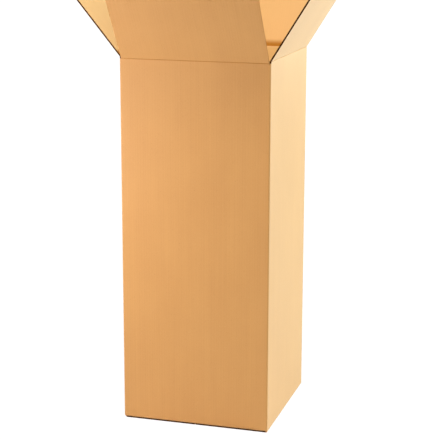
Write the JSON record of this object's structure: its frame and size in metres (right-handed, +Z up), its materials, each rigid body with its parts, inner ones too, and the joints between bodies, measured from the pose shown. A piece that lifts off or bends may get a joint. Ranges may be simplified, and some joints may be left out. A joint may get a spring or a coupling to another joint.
{
  "type": "open cardboard box",
  "caption": "Tall upright corrugated cardboard box with a glued bottom and top flaps that open outward and fold closed over the mouth.",
  "frame": {"origin": "on the floor, under the middle of the box", "axes": "+Z up, the front wall faces -Y, and the right wall faces +X"},
  "size_m": [0.7713, 0.7563, 1.4066],
  "materials": {
    "kraft_board": "matt kraft liner"
  },
  "bodies": {
    "box_body": {"box_body": "kraft_board"},
    "front_flap": {"front_flap": "kraft_board"},
    "back_flap": {"back_flap": "kraft_board"},
    "left_flap": {"left_flap": "kraft_board"},
    "right_flap": {"right_flap": "kraft_board"}
  },
  "joints": [
    {"name": "front_flap_crease", "type": "hinge", "parent": "box_body", "child": "front_flap", "pos_m": [0, -0.2425, 1.1947], "axis": [1, 0, 0], "range_deg": [-124, 96]},
    {"name": "back_flap_crease", "type": "hinge", "parent": "box_body", "child": "back_flap", "pos_m": [0, 0.2425, 1.1947], "axis": [-1, 0, 0], "range_deg": [-123, 97]},
    {"name": "left_flap_crease", "type": "hinge", "parent": "box_body", "child": "left_flap", "pos_m": [-0.2425, 0, 1.2], "axis": [0, -1, 0], "range_deg": [-129.5, 90.5]},
    {"name": "right_flap_crease", "type": "hinge", "parent": "box_body", "child": "right_flap", "pos_m": [0.2425, 0, 1.2], "axis": [0, 1, 0], "range_deg": [-122, 98]}
  ]
}
